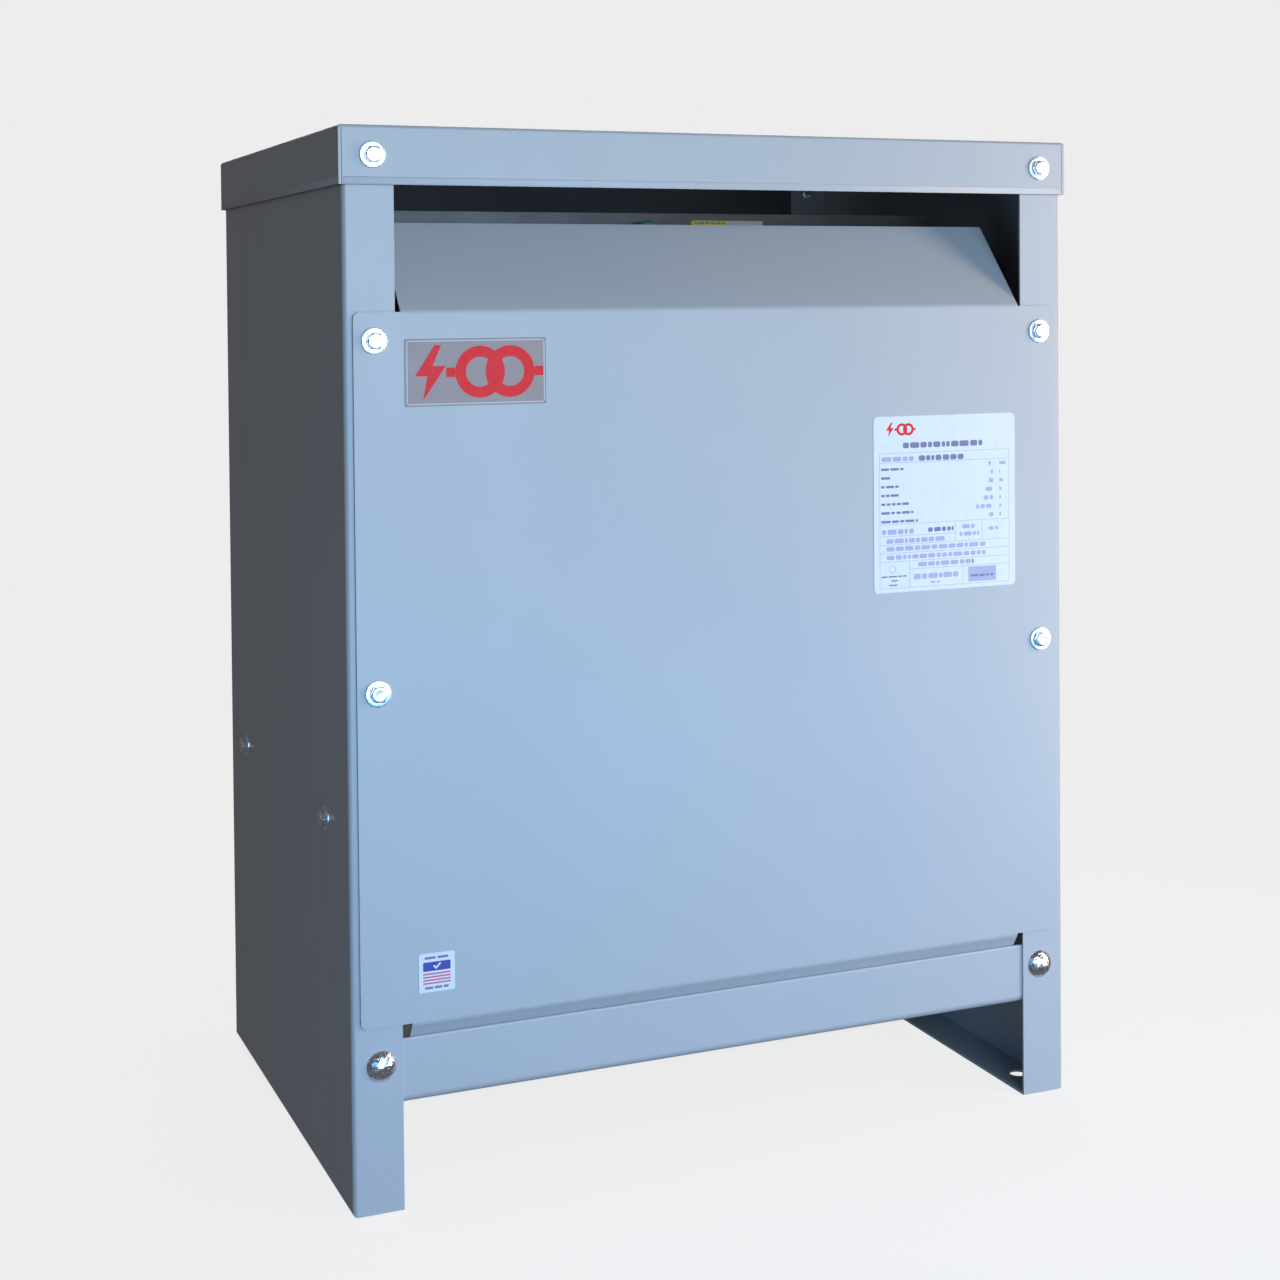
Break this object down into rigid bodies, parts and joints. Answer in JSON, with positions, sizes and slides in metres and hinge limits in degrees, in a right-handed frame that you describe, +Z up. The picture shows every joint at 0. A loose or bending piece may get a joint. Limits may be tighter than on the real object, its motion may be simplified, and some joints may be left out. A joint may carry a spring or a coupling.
{
  "type": "dry-type transformer",
  "caption": "Floor-standing ventilated dry-type transformer in a bolted sheet-metal case: hook-hung covers tilt, the lid lifts, and core, coils and terminals are inside.",
  "frame": {"origin": "middle of the footprint, on the floor", "axes": "+Z up, the front cover faces -Y, +X to the right as seen from the front"},
  "size_m": [0.5984, 0.416, 0.762],
  "materials": {
    "case_paint": "satin grey powder coat",
    "zinc": "bright zinc plate",
    "bare_steel": "black dip paint",
    "core_steel": "varnished steel laminations",
    "insulation": "varnished pressboard",
    "winding": "varnished, taped aluminium winding",
    "copper": "bare copper bar",
    "rubber": "matte",
    "board": "phenolic board",
    "lug_metal": "tin plate",
    "lead_sleeve": "black sleeve",
    "green_sleeve": "green sleeve",
    "plate_print": "printed foil",
    "badge_print": "printed foil",
    "label_print": "printed foil",
    "yellow_print": "printed foil"
  },
  "bodies": {
    "enclosure": {"side_panel_left": "case_paint", "side_panel_right": "case_paint", "front_rail": "case_paint", "rear_rail": "case_paint", "cover_nuts": "zinc", "foot_bolts": "zinc", "foot_nuts": "zinc", "side_bolts": "zinc", "side_washers": "zinc", "side_nuts": "zinc", "side_braces": "bare_steel", "core_legs": "core_steel", "core_top_yoke": "core_steel", "lower_clamps": "bare_steel", "upper_clamps": "bare_steel", "clamp_bolts": "zinc", "clamp_nuts": "zinc", "coil_formers": "insulation", "lv_winding_a": "winding", "lv_winding_b": "winding", "lv_winding_c": "winding", "duct_spacers": "insulation", "hv_winding_a": "winding", "hv_winding_b": "winding", "hv_winding_c": "winding", "coil_blocks": "insulation", "core_supports": "bare_steel", "isolation_pads": "rubber", "base_bolts": "zinc", "base_nuts": "zinc", "ground_strap": "copper", "terminal_board": "board", "terminal_brackets": "bare_steel", "terminal_bolts": "zinc", "terminal_nuts": "zinc", "terminal_lugs": "lug_metal", "lv_busbars": "copper", "neutral_busbar": "copper", "hv_leads": "lead_sleeve", "bonding_lead": "green_sleeve", "board_label": "yellow_print"},
    "front_panel": {"front_panel": "case_paint", "rating_plate": "plate_print", "badge": "badge_print", "small_label": "label_print"},
    "rear_panel": {"rear_panel": "case_paint", "rear_bolts": "zinc", "rear_washers": "zinc"},
    "lid": {"lid": "case_paint", "lid_bolts": "zinc", "lid_washers": "zinc", "lid_nuts": "zinc"},
    "washer_1": {"panel_washer_1": "zinc"},
    "bolt_1": {"panel_bolt_1": "zinc"},
    "washer_2": {"panel_washer_2": "zinc"},
    "bolt_2": {"panel_bolt_2": "zinc"},
    "washer_3": {"panel_washer_3": "zinc"},
    "bolt_3": {"panel_bolt_3": "zinc"},
    "washer_4": {"panel_washer_4": "zinc"},
    "bolt_4": {"panel_bolt_4": "zinc"}
  },
  "joints": [
    {"name": "front_panel_tilt", "type": "hinge", "parent": "enclosure", "child": "front_panel", "pos_m": [0, -0.196, 0.1192], "axis": [1, 0, 0], "range_deg": [0, 35]},
    {"name": "rear_panel_tilt", "type": "hinge", "parent": "enclosure", "child": "rear_panel", "pos_m": [0, 0.196, 0.1192], "axis": [-1, 0, 0], "range_deg": [0, 35]},
    {"name": "lid_lift", "type": "slide", "parent": "enclosure", "child": "lid", "axis": [0, 0, 1], "range_m": [0, 0.12]},
    {"name": "bolt_1_out", "type": "slide", "parent": "front_panel", "child": "washer_1", "axis": [0, -1, 0], "range_m": [0, 0.01524]},
    {"name": "bolt_1_turn", "type": "hinge", "parent": "washer_1", "child": "bolt_1", "pos_m": [-0.2722, -0.2015, 0.612], "axis": [0, -1, 0], "range_deg": [0, 4320]},
    {"name": "bolt_2_out", "type": "slide", "parent": "front_panel", "child": "washer_2", "axis": [0, -1, 0], "range_m": [0, 0.01524]},
    {"name": "bolt_2_turn", "type": "hinge", "parent": "washer_2", "child": "bolt_2", "pos_m": [0.2722, -0.2015, 0.612], "axis": [0, -1, 0], "range_deg": [0, 4320]},
    {"name": "bolt_3_out", "type": "slide", "parent": "front_panel", "child": "washer_3", "axis": [0, -1, 0], "range_m": [0, 0.01524]},
    {"name": "bolt_3_turn", "type": "hinge", "parent": "washer_3", "child": "bolt_3", "pos_m": [-0.2722, -0.2015, 0.3662], "axis": [0, -1, 0], "range_deg": [0, 4320]},
    {"name": "bolt_4_out", "type": "slide", "parent": "front_panel", "child": "washer_4", "axis": [0, -1, 0], "range_m": [0, 0.01524]},
    {"name": "bolt_4_turn", "type": "hinge", "parent": "washer_4", "child": "bolt_4", "pos_m": [0.2722, -0.2015, 0.3662], "axis": [0, -1, 0], "range_deg": [0, 4320]}
  ],
  "couplings": [
    {"joint": "bolt_1_turn", "follows": "bolt_1_out", "rad_per_m": 4947.4},
    {"joint": "bolt_2_turn", "follows": "bolt_2_out", "rad_per_m": 4947.4},
    {"joint": "bolt_3_turn", "follows": "bolt_3_out", "rad_per_m": 4947.4},
    {"joint": "bolt_4_turn", "follows": "bolt_4_out", "rad_per_m": 4947.4}
  ]
}
